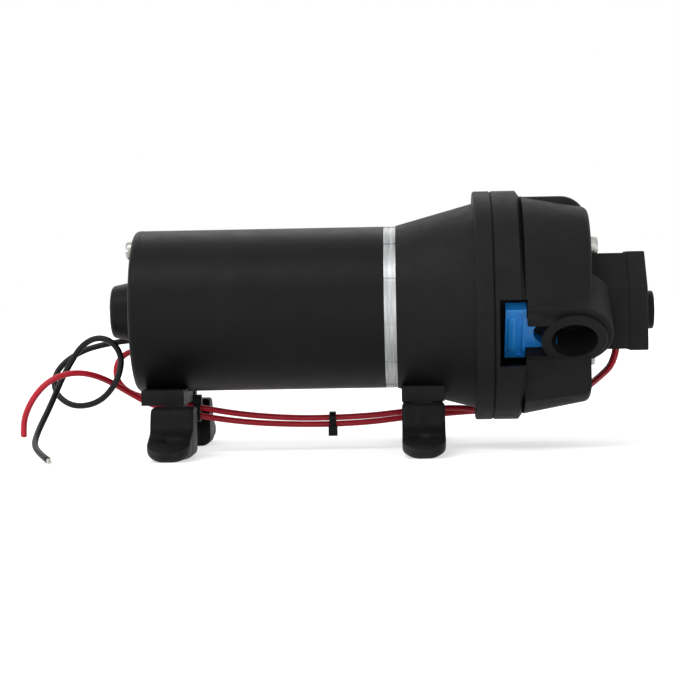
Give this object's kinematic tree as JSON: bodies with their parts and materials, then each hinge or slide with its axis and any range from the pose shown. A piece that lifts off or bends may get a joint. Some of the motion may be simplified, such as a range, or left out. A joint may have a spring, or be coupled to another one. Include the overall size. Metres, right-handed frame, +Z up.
{
  "type": "diaphragm pump",
  "caption": "Electric diaphragm water pump with a can motor, wobble-plate drive, side ports with slide clips, pressure switch and rubber feet.",
  "frame": {"origin": "on the floor, at the centre of the four foot holes", "axes": "+X along the motor's axis towards the pump head and pressure switch, +Z up"},
  "size_m": [0.2647, 0.1271, 0.1075],
  "materials": {
    "painted_can": "satin black powder coat",
    "moulded_black": "finely textured black glass-filled plastic",
    "aluminium_bell": "turned aluminium",
    "zinc_screw": "zinc plated",
    "steel": "ground steel",
    "foot_rubber": "dark grey rubber",
    "clip_blue": "moulded blue",
    "lead_red": "glossy red insulation",
    "lead_black": "glossy black insulation",
    "tinned_copper": "tinned strands",
    "tie_black": "nylon",
    "copper": "enamelled copper",
    "brass": "machined brass",
    "magnet_ferrite": "sintered ferrite",
    "carbon": "carbon brush",
    "spring_steel": "spring wire",
    "soft_rubber": "EPDM rubber",
    "valve_plastic": "natural plastic"
  },
  "bodies": {
    "pump": {"motor_tube": "painted_can", "rear_end_cap": "painted_can", "lead_grommet": "soft_rubber", "front_bell": "aluminium_bell", "through_bolts": "zinc_screw", "rear_bearing": "steel", "front_bearing": "steel", "magnets": "magnet_ferrite", "brushes": "carbon", "brush_plate": "valve_plastic", "brush_springs": "spring_steel", "adapter_housing": "moulded_black", "diaphragm": "soft_rubber", "valve_plate": "valve_plastic", "inlet_valves": "soft_rubber", "outlet_valve": "soft_rubber", "pump_head": "moulded_black", "head_screws": "zinc_screw", "switch_body": "moulded_black", "switch_fixings": "zinc_screw", "switch_cover": "moulded_black", "switch_screws": "zinc_screw", "switch_diaphragm": "soft_rubber", "switch_spring": "spring_steel", "microswitch": "valve_plastic", "rear_stand": "moulded_black", "stand_screw": "zinc_screw", "ground_lead": "lead_black", "supply_lead": "lead_red", "link_lead": "lead_red", "ground_tip": "tinned_copper", "supply_tip": "tinned_copper", "cable_tie_mid": "tie_black", "cable_tie_rear": "tie_black", "foot_rear_near": "foot_rubber", "foot_rear_far": "foot_rubber", "foot_front_near": "foot_rubber", "foot_front_far": "foot_rubber"},
    "rotor": {"motor_shaft": "steel", "armature_core": "steel", "armature_winding": "copper", "commutator": "brass", "drive_cam": "steel", "cam_set_screw": "steel", "cam_bearing": "steel"},
    "wobble": {"wobble_plate": "valve_plastic", "pistons": "valve_plastic", "piston_screws": "steel"},
    "inlet_slide": {"inlet_clip": "clip_blue"},
    "outlet_slide": {"outlet_clip": "clip_blue"},
    "plunger": {"switch_plunger": "valve_plastic"},
    "adjuster": {"adjuster_screw": "brass"}
  },
  "joints": [
    {"name": "rotor_spin", "type": "hinge", "parent": "pump", "child": "rotor", "pos_m": [0, 0, 0.0595], "axis": [1, 0, 0], "continuous": true},
    {"name": "plate_rock", "type": "hinge", "parent": "pump", "child": "wobble", "pos_m": [0.0591, 0, 0.0595], "axis": [0, 1, 0], "range_deg": [-2.5, 2.5], "deforming": ["diaphragm"]},
    {"name": "inlet_clip_slide", "type": "slide", "parent": "pump", "child": "inlet_slide", "axis": [-1, 0, 0], "range_m": [0, 0.0022]},
    {"name": "outlet_clip_slide", "type": "slide", "parent": "pump", "child": "outlet_slide", "axis": [-1, 0, 0], "range_m": [0, 0.0022]},
    {"name": "plunger_slide", "type": "slide", "parent": "pump", "child": "plunger", "axis": [1, 0, 0], "range_m": [0, 0.001], "stiffness_N_per_m": 400, "deforming": ["switch_spring"]},
    {"name": "adjuster_turn", "type": "hinge", "parent": "pump", "child": "adjuster", "pos_m": [0, 0, 0.0565], "axis": [1, 0, 0], "range_deg": [-180, 180]}
  ]
}
